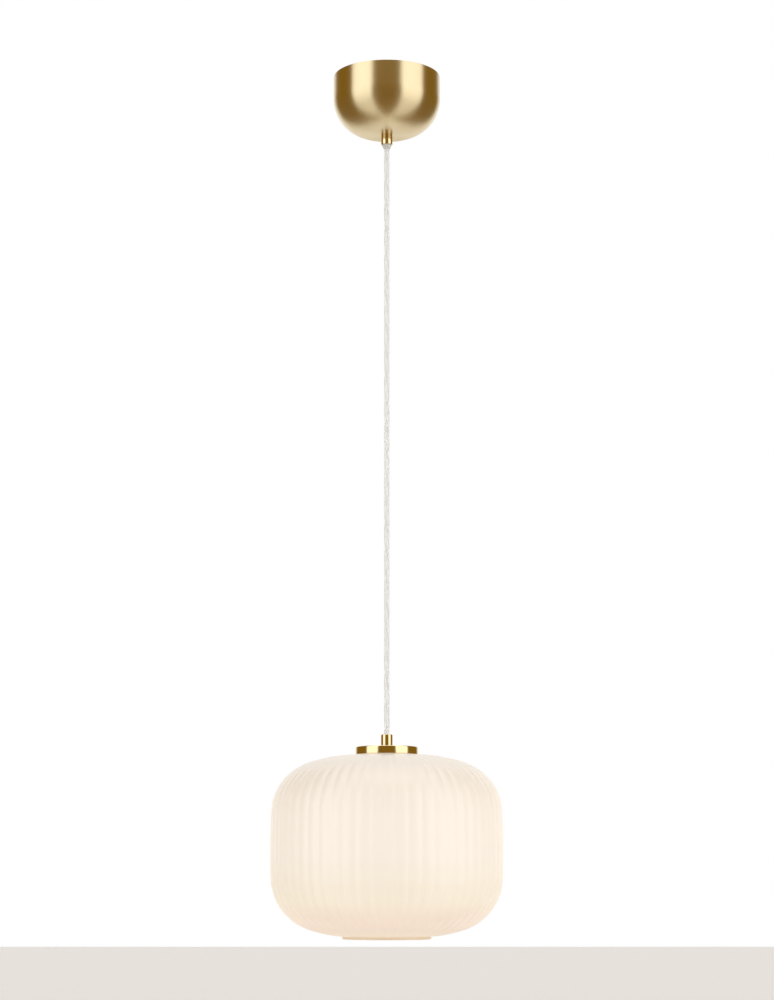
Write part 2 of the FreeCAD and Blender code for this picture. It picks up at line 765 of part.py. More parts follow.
def make_bulb():
    """Screw-cap bulb: contact button, insulating cone, screw cap, housing, board and globe."""
    cap = "bulb_cap_radius"
    cone = "cone_radius"
    rod("bulb_button", "bulb_tip", "button_radius", "button_height")
    turned("bulb_insulator", "bulb_tip - button_height", [
        ("0", "0"), ("button_radius + bulb_metal", "0"), (cone, "-cone_height"),
        ("0", "-cone_height")])
    turned("bulb_screw_cap", "bulb_cap_top", [
        ("0", "0"), (cone, "0"), (cap, f"-({cap} - {cone})"), (cap, "-bulb_cap_length"),
        (f"{cap} - bulb_metal", "-bulb_cap_length"),
        (f"{cap} - bulb_metal", f"-({cap} - {cone}) - bulb_metal"),
        (cone, "-bulb_metal"), ("0", "-bulb_metal")])
    turned("bulb_housing", "housing_top", [
        ("0", "0"),
        ("housing_neck", "0"),
        ("housing_neck", "-bulb_wall"),
        ("globe_mouth", "-housing_length + bulb_wall"),
        ("globe_mouth", "-housing_length"),
        ("globe_mouth - bulb_wall", "-housing_length"),
        ("globe_mouth - bulb_wall", "-housing_length + bulb_wall"),
        ("housing_neck - bulb_wall", "-2 * bulb_wall"),
        ("0", "-2 * bulb_wall")])
    rod("led_board", "globe_top + bulb_wall", "globe_mouth - bulb_wall - board_gap", "bulb_wall")
    drop = "sqrt(globe_radius^2 - globe_mouth^2)"
    hollow = "sqrt((globe_radius - bulb_wall)^2 - (globe_mouth - bulb_wall)^2)"
    turned("bulb_globe", "globe_top", [
        ("globe_mouth - bulb_wall", "0"),
        ("globe_mouth", "0", "globe_radius"),
        ("globe_radius", f"-{drop}", "globe_radius"),
        ("0", f"-{drop} - globe_radius"),
        ("0", f"-{drop} - globe_radius + bulb_wall", "-(globe_radius - bulb_wall)"),
        ("globe_radius - bulb_wall", f"-{drop}", "-(globe_radius - bulb_wall)"),
        ("globe_mouth - bulb_wall", f"-{drop} + {hollow}")])


# ---------------------------------------------------------------- build, check and write

def build():
    make_canopy_cup()
    make_ceiling_bracket()
    make_canopy_nipple()
    make_gland()
    make_terminal_block()
    make_terminal_screws()
    make_bracket_screws()
    make_upper_wiring()
    make_hanging_cord()
    make_shade_grip()
    make_cap()
    make_clamp()
    make_glass()
    make_lampholder()
    make_contacts()
    make_lower_wiring()
    make_bulb()
    document.recompute()


def check():
    """Stop if any object failed, or any piece has no sound solid."""
    for item in document.Objects:
        if {"Invalid", "Error"} & set(item.State):
            raise RuntimeError(f"{item.Name} failed: {item.State}")
    for node in nodes:
        if node.Shape.isNull() or not node.Shape.isValid() or node.Shape.Volume <= 0:
            raise RuntimeError(f"{node.Label} has no sound solid")


def write():
    os.makedirs("parts", exist_ok=True)
    for node in nodes:
        node.Shape.exportStep(f"parts/{node.Label}.step")
        print(f"{node.Label:24s} {node.Shape.Volume / 1000:9.3f} cm3")


build()
check()
write()
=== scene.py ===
import json
from math import acos, asin, atan2, cos, pi, radians, sin, tan

import bmesh
import bpy
from bpy.props import FloatProperty, FloatVectorProperty, IntProperty, PointerProperty
from mathutils import Matrix, Vector


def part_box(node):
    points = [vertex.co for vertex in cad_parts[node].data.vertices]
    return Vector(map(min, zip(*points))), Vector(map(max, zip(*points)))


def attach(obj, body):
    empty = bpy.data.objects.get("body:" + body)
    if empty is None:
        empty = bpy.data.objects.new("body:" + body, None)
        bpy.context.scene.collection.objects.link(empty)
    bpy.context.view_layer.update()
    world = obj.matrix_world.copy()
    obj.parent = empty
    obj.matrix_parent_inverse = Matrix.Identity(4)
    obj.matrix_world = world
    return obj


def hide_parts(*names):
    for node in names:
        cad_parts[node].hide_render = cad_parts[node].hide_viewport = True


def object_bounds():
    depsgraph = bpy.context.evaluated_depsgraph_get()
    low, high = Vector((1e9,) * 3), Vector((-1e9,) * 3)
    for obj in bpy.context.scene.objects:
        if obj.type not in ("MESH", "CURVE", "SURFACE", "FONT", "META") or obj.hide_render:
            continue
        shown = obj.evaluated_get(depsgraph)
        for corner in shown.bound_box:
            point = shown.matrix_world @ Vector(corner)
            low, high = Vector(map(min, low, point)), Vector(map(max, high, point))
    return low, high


bl_info = {
    "name": "Pendant Ceiling Light",
    "version": (1, 0, 0),
    "blender": (4, 5, 0),
    "location": "3D View > Sidebar > Pendant",
    "description": "Brass canopy, clear cord and fluted opal glass shade round a packed frame",
    "category": "Object",
}

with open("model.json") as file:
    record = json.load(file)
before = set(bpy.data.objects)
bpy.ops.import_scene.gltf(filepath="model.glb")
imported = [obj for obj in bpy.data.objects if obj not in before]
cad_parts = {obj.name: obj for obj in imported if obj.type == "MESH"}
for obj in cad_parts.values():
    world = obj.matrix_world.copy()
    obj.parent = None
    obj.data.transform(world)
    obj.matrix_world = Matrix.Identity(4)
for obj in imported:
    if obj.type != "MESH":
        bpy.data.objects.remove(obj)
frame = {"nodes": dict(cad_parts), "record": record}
cad_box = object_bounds()

MM = 0.001
FRONT = -pi / 2


# ---------------------------------------------------------------- measures from the frame

def top_of(node):
    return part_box(node)[1].z


def foot_of(node):
    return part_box(node)[0].z


def radius_of(node):
    """Half the larger width, for a piece that is centred on the cord's axis."""
    low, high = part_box(node)
    return max(high.x - low.x, high.y - low.y) / 2


# ---------------------------------------------------------------- settings

class PendantSizes(bpy.types.PropertyGroup):
    """Sizes of the details that the frame leaves to the looks."""

    ribs: IntProperty(
        name="Flutes", description="Number of flutes round the glass", default=56, min=8, max=120)
    rib_depth: FloatProperty(
        name="Flute depth", description="Depth of the valley between two flutes",
        default=1.0 * MM, subtype="DISTANCE", unit="LENGTH")
    rib_turn: FloatProperty(
        name="Flute turn", description="Turn of the first flute's crest from the front",
        default=radians(1.05), subtype="ANGLE", unit="ROTATION")
    glass_wall: FloatProperty(
        name="Glass wall", description="Thickness of the blown glass",
        default=3 * MM, subtype="DISTANCE", unit="LENGTH")
    canopy_wall: FloatProperty(
        name="Canopy wall", description="Thickness of the spun metal",
        default=0.8 * MM, subtype="DISTANCE", unit="LENGTH")
    core_lay: FloatProperty(
        name="Core lay", description="Length in which the two cores make one full twist",
        default=56 * MM, subtype="DISTANCE", unit="LENGTH")
    thread_pitch: FloatProperty(
        name="Screw cap pitch", description="Pitch of the bulb's screw cap",
        default=3.6 * MM, subtype="DISTANCE", unit="LENGTH")


class PendantColours(bpy.types.PropertyGroup):
    """Colours of the visible finishes."""

    canopy: FloatVectorProperty(
        name="Turned brass", description="Colour of the canopy's satin brass",
        default=(0.84, 0.72, 0.47), subtype="COLOR", size=3, min=0, max=1)
    fitting: FloatVectorProperty(
        name="Polished brass", description="Colour of the grips and the cap",
        default=(0.88, 0.74, 0.46), subtype="COLOR", size=3, min=0, max=1)
    glass: FloatVectorProperty(
        name="Opal glass", description="Colour of the opal glass by daylight",
        default=(0.70, 0.64, 0.57), subtype="COLOR", size=3, min=0, max=1)
    sheath: FloatVectorProperty(
        name="Cord sheath", description="Tint of the clear sheath",
        default=(0.99, 0.99, 0.99), subtype="COLOR", size=3, min=0, max=1)


# ---------------------------------------------------------------- shapes

def rounded(corners, steps=5):
    """Outline points (r, z) from corners (r, z) or (r, z, rounding)."""
    points = []
    count = len(corners)
    for index, corner in enumerate(corners):
        here = Vector(corner[:2])
        if len(corner) < 3:
            points.append(here)
            continue
        before = Vector(corners[index - 1][:2]) - here
        after = Vector(corners[(index + 1) % count][:2]) - here
        before.normalize()
        after.normalize()
        half = acos(max(-1.0, min(1.0, before.dot(after)))) / 2
        reach = corner[2] / tan(half)
        middle = here + (before + after).normalized() * (corner[2] / sin(half))
        start = here + before * reach - middle
        end = here + after * reach - middle
        turn = start.angle(end)
        for step in range(steps + 1):
            share = step / steps
            mixed = (start * sin((1 - share) * turn) + end * sin(share * turn)) / sin(turn)
            points.append(middle + mixed)
    return points


def new_piece(name, bm, material, smooth=35):
    """Turn a bmesh into a finished piece: loose doubles merged, normals outwards, edges kept."""
    bmesh.ops.remove_doubles(bm, verts=bm.verts, dist=1e-7)
    bmesh.ops.recalc_face_normals(bm, faces=bm.faces)
    mesh = bpy.data.meshes.new(name)
    bm.to_mesh(mesh)
    bm.free()
    mesh.shade_smooth()
    mesh.set_sharp_from_angle(angle=radians(smooth))
    mesh.materials.append(material)
    piece = bpy.data.objects.new(name, mesh)
    bpy.context.collection.objects.link(piece)
    return piece


def wire(bm, points, closed=True):
    """Vertices and edges through points (r, z) in the XZ plane."""
    verts = [bm.verts.new((point[0], 0, point[1])) for point in points]
    pairs = list(zip(verts, verts[1:]))
    if closed:
        pairs.append((verts[-1], verts[0]))
    edges = [bm.edges.new(pair) for pair in pairs]
    return verts + edges


def lathe(name, outline, material, steps=96, closed=True, smooth=35, shape=None):
    """A piece turned round the cord's axis; shape may move the vertices before it is finished."""
    bm = bmesh.new()
    bmesh.ops.spin(
        bm, geom=wire(bm, outline, closed), cent=(0, 0, 0), axis=(0, 0, 1), dvec=(0, 0, 0),
        angle=2 * pi, steps=steps, use_merge=True, use_duplicate=False)
    if shape:
        shape(bm)
    return new_piece(name, bm, material, smooth)


def rolled(radius, top, foot, pitch, depth):
    """A shape that presses a thread into the outer wall: a wave that climbs as it goes round."""
    def shape(bm):
        for vert in bm.verts:
            across = Vector((vert.co.x, vert.co.y, 0))
            if across.length < radius * 0.95:
                continue
            around = atan2(vert.co.y, vert.co.x)
            wave = 0.5 - 0.5 * cos(2 * pi * (top - vert.co.z) / pitch + around)
            ends = max(0.0, min(1.0, (top - vert.co.z) / pitch, (vert.co.z - foot) / pitch))
            vert.co -= across.normalized() * depth * (1 - wave) * ends
    return shape


def rows_between(radius, top, foot, rows):
    """Evenly spaced outline points down a straight wall, close enough to carry a thread."""
    return [Vector((radius, top + (foot - top) * row / rows)) for row in range(rows + 1)]


def arc_points(centre, radius, start, end, steps):
    """Points on an arc of an outline, from angle start to angle end."""
    for step in range(steps + 1):
        angle = start + (end - start) * step / steps
        yield Vector((centre[0] + radius * cos(angle), centre[1] + radius * sin(angle)))


# ---------------------------------------------------------------- shared effects

def effect_group(name, inputs, outputs, build):
    """A named shader effect, built once."""
    if name in bpy.data.node_groups:
        return bpy.data.node_groups[name]
    group = bpy.data.node_groups.new(name, "ShaderNodeTree")
    for label, kind, default in inputs:
        socket = group.interface.new_socket(label, in_out="INPUT", socket_type=kind)
        socket.default_value = default
    for label, kind in outputs:
        group.interface.new_socket(label, in_out="OUTPUT", socket_type=kind)
    build(group, group.nodes.new("NodeGroupInput"), group.nodes.new("NodeGroupOutput"))
    return group


def object_place(tree):
    """Object coordinates."""
    return tree.nodes.new("ShaderNodeTexCoord").outputs["Object"]


def feed(tree, socket, given):
    """Give an input a plain value, or link another socket to it."""
    if isinstance(given, bpy.types.NodeSocket):
        tree.links.new(given, socket)
    else:
        socket.default_value = given


def math(tree, kind, *given):
    """One Math node; each input is a socket or a number."""
    node = tree.nodes.new("ShaderNodeMath")
    node.operation = kind
    for socket, value in zip(node.inputs, given):
        feed(tree, socket, value)
    return node.outputs[0]


def noise(tree, vector, scale, detail=3.0, rough=0.5):
    """Cloudy noise from 0 to 1."""
    node = tree.nodes.new("ShaderNodeTexNoise")
    for label, given in (
            ("Vector", vector), ("Scale", scale), ("Detail", detail), ("Roughness", rough)):
        feed(tree, node.inputs[label], given)
    return node.outputs["Fac"]


def ramp(tree, factor, stops, smooth=False):
    """Colour ramp with stops (position, colour)."""
    node = tree.nodes.new("ShaderNodeValToRGB")
    node.color_ramp.interpolation = "EASE" if smooth else "LINEAR"
    elements = node.color_ramp.elements
    while len(elements) < len(stops):
        elements.new(0.5)
    for element, (position, colour) in zip(elements, stops):
        element.position = position
        element.color = (*colour, 1)
    tree.links.new(factor, node.inputs["Fac"])
    return node.outputs["Color"]


def spread(tree, value, low=0.0, high=1.0, start=0.0, end=1.0):
    """Value from start..end mapped to low..high, and held beyond both ends."""
    node = tree.nodes.new("ShaderNodeMapRange")
    for label, given in (
            ("Value", value), ("From Min", start), ("From Max", end),
            ("To Min", low), ("To Max", high)):
        feed(tree, node.inputs[label], given)
    return node.outputs["Result"]


def mix_colours(tree, factor, first, second):
    """First colour where the factor is 0, second where it is 1."""
    node = tree.nodes.new("ShaderNodeMix")
    node.data_type = "RGBA"
    for label, given in (("Factor", factor), ("A", first), ("B", second)):
        feed(tree, node.inputs[label], given)
    return node.outputs["Result"]


def mix_shaders(tree, factor, first, second, output):
    """First shader where the factor is 0, second where it is 1, shown by the tree's output."""
    node = tree.nodes.new("ShaderNodeMixShader")
    for socket, given in zip(node.inputs, (factor, first.outputs[0], second.outputs[0])):
        tree.links.new(given, socket)
    tree.links.new(node.outputs[0], tree.nodes[output].inputs["Surface"])


def height_in(tree, vector):
    """The Z part of a vector."""
    split = tree.nodes.new("ShaderNodeSeparateXYZ")
    tree.links.new(vector, split.inputs[0])
    return split.outputs["Z"]


def turned_lines():
    """Fine lines left by turning on a lathe: they run round the Z axis."""
    def build(group, given, result):
        split = group.nodes.new("ShaderNodeSeparateXYZ")
        group.links.new(object_place(group), split.inputs[0])
        across = math(group, "SQRT", math(
            group, "ADD", math(group, "MULTIPLY", split.outputs["X"], split.outputs["X"]),
            math(group, "MULTIPLY", split.outputs["Y"], split.outputs["Y"])))
        around = math(group, "ARCTAN2", split.outputs["Y"], split.outputs["X"])
        join = group.nodes.new("ShaderNodeCombineXYZ")
        group.links.new(across, join.inputs["X"])
        group.links.new(split.outputs["Z"], join.inputs["Y"])
        group.links.new(math(group, "MULTIPLY", around, 0.0004), join.inputs["Z"])
        lines = noise(group, join.outputs[0], given.outputs["Scale"], 4.0, 0.65)
        group.links.new(lines, result.inputs["Height"])
        group.links.new(
            spread(group, lines, given.outputs["Low"], given.outputs["High"]),
            result.inputs["Value"])
    return effect_group(
        "Turned lines",
        [("Scale", "NodeSocketFloat", 4000.0), ("Low", "NodeSocketFloat", 0.2),
         ("High", "NodeSocketFloat", 0.4)],
        [("Height", "NodeSocketFloat"), ("Value", "NodeSocketFloat")], build)


def handled_surface():
    """Faint cloudy marks from handling, for the roughness of glossy and satin pieces."""
    def build(group, given, result):
        place = object_place(group)
        broad = noise(group, place, given.outputs["Scale"], 4.0, 0.6)
        fine = noise(group, place, math(group, "MULTIPLY", given.outputs["Scale"], 9.0), 2.0)
        both = math(group, "ADD", math(group, "MULTIPLY", broad, 0.7),
                    math(group, "MULTIPLY", fine, 0.3))
        group.links.new(both, result.inputs["Mask"])
        group.links.new(
            spread(group, both, given.outputs["Low"], given.outputs["High"]),
            result.inputs["Value"])
    return effect_group(
        "Handled surface",
        [("Scale", "NodeSocketFloat", 60.0), ("Low", "NodeSocketFloat", 0.1),
         ("High", "NodeSocketFloat", 0.2)],
        [("Mask", "NodeSocketFloat"), ("Value", "NodeSocketFloat")], build)


def moulded_grain():
    """Fine even grain of moulded plastic, rubber and lacquer."""
    def build(group, given, result):
        grain = noise(group, object_place(group), given.outputs["Scale"], 2.0, 0.7)
        group.links.new(grain, result.inputs["Height"])
    return effect_group(
        "Moulded grain", [("Scale", "NodeSocketFloat", 2500.0)],
        [("Height", "NodeSocketFloat")], build)


def studio_bands():
    """Tones of the studio by direction round the lamp: white behind, pale and dim by turns."""
    def build(group, given, result):
        split = group.nodes.new("ShaderNodeSeparateXYZ")
        group.links.new(given.outputs["Direction"], split.inputs[0])
        around = math(group, "ARCTAN2", split.outputs["X"], math(
            group, "MULTIPLY", split.outputs["Y"], -1.0))
        turn = math(group, "ADD", math(group, "DIVIDE", around, 2 * pi), 0.5)
        white, dim, side = (1.0, 1.0, 1.0), (0.225, 0.13, 0.014), (0.85, 0.83, 0.78)
        stops = [(0.0, white), (0.07, white), (0.12, dim), (0.27, dim), (0.29, side),
                 (0.40, side), (0.42, dim), (0.58, dim), (0.60, side), (0.72, side),
                 (0.74, dim), (0.88, dim), (0.93, white), (1.0, white)]
        group.links.new(ramp(group, turn, stops), result.inputs["Tone"])
    return effect_group(
        "Studio bands", [("Direction", "NodeSocketVector", (0, 0, 0))],
        [("Tone", "NodeSocketColor")], build)


# ---------------------------------------------------------------- finishes

def blank_finish(name, colour, metallic=0.0, roughness=0.4, **others):
    """A material with one Principled shader; returns the tree and the shader."""
    material = bpy.data.materials.new(name)
    material.use_nodes = True
    tree = material.node_tree
    shader = tree.nodes["Principled BSDF"]
    shader.inputs["Base Color"].default_value = (*colour, 1)
    shader.inputs["Metallic"].default_value = metallic
    shader.inputs["Roughness"].default_value = roughness
    for label, given in others.items():
        shader.inputs[label.replace("_", " ")].default_value = given
    return material, tree, shader


def use_effect(tree, group, **given):
    """Outputs of a shared effect, with its named inputs given as sockets or plain values."""
    node = tree.nodes.new("ShaderNodeGroup")
    node.node_tree = group
    for label, value in given.items():
        feed(tree, node.inputs[label], value)
    return node.outputs


def bump(tree, shader, height, strength, distance):
    """Fine relief from a height."""
    node = tree.nodes.new("ShaderNodeBump")
    node.inputs["Strength"].default_value = strength
    node.inputs["Distance"].default_value = distance
    tree.links.new(height, node.inputs["Height"])
    tree.links.new(node.outputs["Normal"], shader.inputs["Normal"])


def tinted(tree, shader, factor, dark, light):
    """Base colour that varies a little between two close tones."""
    tree.links.new(ramp(tree, factor, [(0.3, dark), (0.7, light)]), shader.inputs["Base Color"])


def shade_of(colour, amount):
    """The colour, lighter or darker by an amount."""
    return tuple(min(1.0, part * amount) for part in colour)


def turned_brass(colour):
    """Satin brass turned on a lathe: reflections smear up and down, not sideways."""
    material, tree, shader = blank_finish(
        "turned_brass", colour, 1.0, 0.3, Anisotropic=0.85, Anisotropic_Rotation=0.25)
    tangent = tree.nodes.new("ShaderNodeTangent")
    tangent.direction_type = "RADIAL"
    tangent.axis = "Z"
    tree.links.new(tangent.outputs[0], shader.inputs["Tangent"])
    lines = use_effect(tree, turned_lines(), Scale=5200.0, Low=0.24, High=0.36)
    tree.links.new(lines["Value"], shader.inputs["Roughness"])
    bump(tree, shader, lines["Height"], 0.25, 0.00002)
    marks = use_effect(tree, handled_surface(), Scale=28.0)
    tinted(tree, shader, marks["Mask"], shade_of(colour, 0.95), shade_of(colour, 1.03))
    return material


def polished_brass(colour, name="polished_brass", low=0.05, high=0.14):
    """Bright lacquered brass with faint turning lines."""
    material, tree, shader = blank_finish(name, colour, 1.0, low)
    marks = use_effect(tree, handled_surface(), Scale=110.0, Low=low, High=high)
    tree.links.new(marks["Value"], shader.inputs["Roughness"])
    lines = use_effect(tree, turned_lines(), Scale=6500.0)
    bump(tree, shader, lines["Height"], 0.06, 0.00001)
    tinted(tree, shader, marks["Mask"], shade_of(colour, 0.96), shade_of(colour, 1.03))
    return material


def plated_steel(name="zinc_steel", colour=(0.62, 0.63, 0.63), low=0.28, high=0.45):
    """Zinc-plated steel with a slight bloom."""
    material, tree, shader = blank_finish(name, colour, 1.0, low)
    marks = use_effect(tree, handled_surface(), Scale=220.0, Low=low, High=high)
    tree.links.new(marks["Value"], shader.inputs["Roughness"])
    tinted(tree, shader, marks["Mask"], shade_of(colour, 0.85), shade_of(colour, 1.1))
    bump(tree, shader, marks["Mask"], 0.1, 0.00004)
    return material


def moulded_plastic(name, colour, roughness=0.35, grain=2200.0):
    """Opaque moulded plastic or rubber with a fine grain."""
    material, tree, shader = blank_finish(name, colour, 0.0, roughness, IOR=1.49)
    marks = use_effect(
        tree, handled_surface(), Scale=90.0, Low=roughness * 0.85, High=roughness * 1.2)
    tree.links.new(marks["Value"], shader.inputs["Roughness"])
    tinted(tree, shader, marks["Mask"], shade_of(colour, 0.96), shade_of(colour, 1.02))
    bump(tree, shader, use_effect(tree, moulded_grain(), Scale=grain)["Height"], 0.12, 0.00003)
    return material


def pale_core(colour):
    """White insulation with a painted glow that stands for the light gathered by the clear sheath
    round it.
    """
    material, tree, shader = blank_finish("pale_core", colour, 0.0, 0.35, Emission_Strength=0.22)
    marks = use_effect(tree, handled_surface(), Scale=120.0)
    tinted(tree, shader, marks["Mask"], shade_of(colour, 0.97), colour)
    # painted glow: the cores' emission colour stands for light the sheath gathers
    gathered = ramp(tree, marks["Mask"], [(0.2, shade_of(colour, 0.9)), (0.8, colour)])
    tree.links.new(gathered, shader.inputs["Emission Color"])
    return material


def clear_plastic(name, colour, roughness, transmission):
    """Clear or slightly milky plastic."""
    material, tree, shader = blank_finish(
        name, colour, 0.0, roughness, Transmission_Weight=transmission, IOR=1.45)
    marks = use_effect(
        tree, handled_surface(), Scale=160.0, Low=roughness * 0.7, High=roughness * 1.4)
    tree.links.new(marks["Value"], shader.inputs["Roughness"])
    return material


def opal_glass(colour, top, foot):
    """Satin opal glass with the bulb's light painted into its emission by height: strongest at the
    bulb, warm and weak at the foot.
    """
    material, tree, shader = blank_finish(
        "opal_glass", colour, 0.0, 0.32, IOR=1.5, Coat_Weight=0.15, Coat_Roughness=0.2,
        Emission_Strength=1.0)
    # painted light: the emission colour follows height, brightest level with the bulb and weak at
    # the foot and the top
    height = spread(tree, height_in(tree, object_place(tree)), start=foot, end=top)
    glow = [(0.0, (0.23, 0.15, 0.07)), (0.05, (0.22, 0.14, 0.08)), (0.1, (0.32, 0.24, 0.19)),
            (0.21, (0.37, 0.34, 0.27)), (0.43, (0.38, 0.365, 0.34)), (0.65, (0.38, 0.365, 0.34)),
            (0.75, (0.35, 0.33, 0.31)), (0.86, (0.26, 0.25, 0.23)), (0.93, (0.17, 0.16, 0.15)),
            (1.0, (0.13, 0.12, 0.11))]
    tree.links.new(ramp(tree, height, glow), shader.inputs["Emission Color"])
    marks = use_effect(tree, handled_surface(), Scale=14.0, Low=0.28, High=0.36)
    tree.links.new(marks["Value"], shader.inputs["Roughness"])
    tinted(tree, shader, marks["Mask"], shade_of(colour, 0.985), shade_of(colour, 1.01))
    bump(tree, shader, use_effect(tree, moulded_grain(), Scale=420.0)["Height"], 0.04, 0.0001)
    return material


def lit_opal(name, colour, strength):
    """Opal diffuser of the bulb, glowing."""
    material, tree, shader = blank_finish(name, colour, 0.0, 0.4, Emission_Strength=strength)
    marks = use_effect(tree, handled_surface(), Scale=40.0)
    glow = ramp(tree, marks["Mask"], [(0.2, shade_of(colour, 0.97)), (0.8, colour)])
    tree.links.new(glow, shader.inputs["Emission Color"])
    return material


def floor_finish():
    """Pale floor, clear from below; to glossy rays its colour is painted with the studio's light
    and dim bands, a painted reflection that glossy pieces see in it.
    """
    pale = (0.93, 0.93, 0.93)
    material, tree, shader = blank_finish("pale_floor", pale, 0.0, 0.7)
    bands = use_effect(tree, studio_bands(), Direction=object_place(tree))
    # painted reflection: glossy rays see the studio's light and dim bands painted into the floor's
    # colour
    glossy = tree.nodes.new("ShaderNodeLightPath").outputs["Is Glossy Ray"]
    tree.links.new(
        mix_colours(tree, glossy, (*pale, 1), bands["Tone"]), shader.inputs["Base Color"])
    behind = tree.nodes.new("ShaderNodeNewGeometry").outputs["Backfacing"]
    clear = tree.nodes.new("ShaderNodeBsdfTransparent")
    mix_shaders(tree, behind, shader, clear, "Material Output")
    return material


FINISHES = {}


def finish(slot):
    """The material for one of the record's slots, made once."""
    if slot not in FINISHES:
        colours = bpy.context.scene.pendant_colours
        makers = {
            "brushed_brass": lambda: turned_brass(colours.canopy),
            "polished_brass": lambda: polished_brass(colours.fitting),
            "contact_brass": lambda: polished_brass((0.80, 0.62, 0.34), "contact_brass", 0.2, 0.35),
            "zinc_steel": plated_steel,
            "nickel": lambda: plated_steel("nickel", (0.70, 0.68, 0.64), 0.14, 0.28),
            "clear_plastic": lambda: clear_plastic("clear_plastic", (0.97, 0.97, 0.95), 0.18, 0.4),
            "clear_sheath": lambda: clear_plastic("clear_sheath", colours.sheath, 0.06, 0.8),
            "pale_core": lambda: pale_core((0.95, 0.95, 0.95)),
            "white_plastic": lambda: moulded_plastic("white_plastic", (0.86, 0.86, 0.83), 0.32),
            "black_insulator": lambda: moulded_plastic("black_insulator", (0.02, 0.02, 0.02), 0.2),
            "silicone": lambda: moulded_plastic("silicone", (0.82, 0.82, 0.80), 0.5, 1200.0),
            "opal_glass": lambda: opal_glass(
                colours.glass, top_of("glass_shade"), foot_of("glass_shade")),
            "opal_plastic": lambda: lit_opal("opal_plastic", (1.0, 0.93, 0.82), 2.2),
            "led_board": lambda: moulded_plastic("led_board", (0.9, 0.9, 0.88), 0.3),
        }
        FINISHES[slot] = makers[slot]()
    return FINISHES[slot]


def place_piece(piece, body, slot, *nodes):
    """A piece rides on its body and stands for its CAD nodes, which it hides; slot is not used."""
    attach(piece, body)
    if nodes:
        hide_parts(*nodes)


def turned_piece(name, outline, body, slot, node, steps=96, **shaping):
    """A lathe piece in the finish of its slot, in place of its CAD node."""
    place_piece(lathe(name, outline, finish(slot), steps, **shaping), body, slot, node)


# ---------------------------------------------------------------- operators

class PENDANT_OT_canopy(bpy.types.Operator):
    """Spun brass cup with a rolled rim and a large rounded corner"""

    bl_idname = "pendant.canopy"
    bl_label = "Canopy Cup"

    corner = 42 * MM
    fineness = 48

    def execute(self, context):
        wall = context.scene.pendant_sizes.canopy_wall
        radius, foot = radius_of("canopy_cup"), foot_of("canopy_cup")
        hole = radius_of("canopy_nipple")
        rim = wall * 0.3
        outline = rounded([
            (hole, foot), (radius, foot, self.corner), (radius, 0, rim),
            (radius - wall, 0, rim)], self.fineness)
        outline += rounded([
            (radius - wall, 0), (radius - wall, foot + wall, self.corner - wall),
            (hole, foot + wall)], self.fineness)[1:]
        turned_piece(
            "canopy_cup_skin", outline, "canopy", "brushed_brass", "canopy_cup", steps=192)
        return {"FINISHED"}


class PENDANT_OT_gland(bpy.types.Operator):
    """Brass gland under the canopy and the clear tapered collet in its mouth"""

    bl_idname = "pendant.gland"
    bl_label = "Upper Cord Grip"

    seat = 7 * MM
    play = 0.4 * MM
    flange = 0.5 * MM
    flange_height = 0.45 * MM

    def execute(self, context):
        self.gland()
        self.collet()
        return {"FINISHED"}

    def gland(self):
        radius, top, foot = radius_of("gland_body"), top_of("gland_body"), foot_of("gland_body")
        bore = radius_of("cord_collet") - self.play
        thread = radius_of("canopy_nipple") + 0.05 * MM
        outline = rounded([
            (thread, top), (radius, top, 0.15 * MM), (radius, foot, 0.45 * MM),
            (bore, foot, 0.15 * MM), (bore, top - self.seat), (thread, top - self.seat)])
        turned_piece("gland_body_skin", outline, "canopy", "polished_brass", "gland_body")

    def collet(self):
        wide, stem = radius_of("cord_collet"), radius_of("cord_collet") - self.flange
        bore = radius_of("hanging_cord") + self.play
        top, foot = top_of("cord_collet"), foot_of("cord_collet")
        lip = foot_of("gland_body") - 0.1 * MM
        soft = 0.2 * MM
        outline = rounded([
            (bore, top), (stem, top, 0.3 * MM), (stem, lip), (wide, lip, soft),
            (wide, lip - self.flange_height, soft), (bore + 0.5 * MM, foot, soft), (bore, foot)])
        turned_piece(
            "cord_collet_skin", outline, "collet", "clear_plastic", "cord_collet", steps=72)


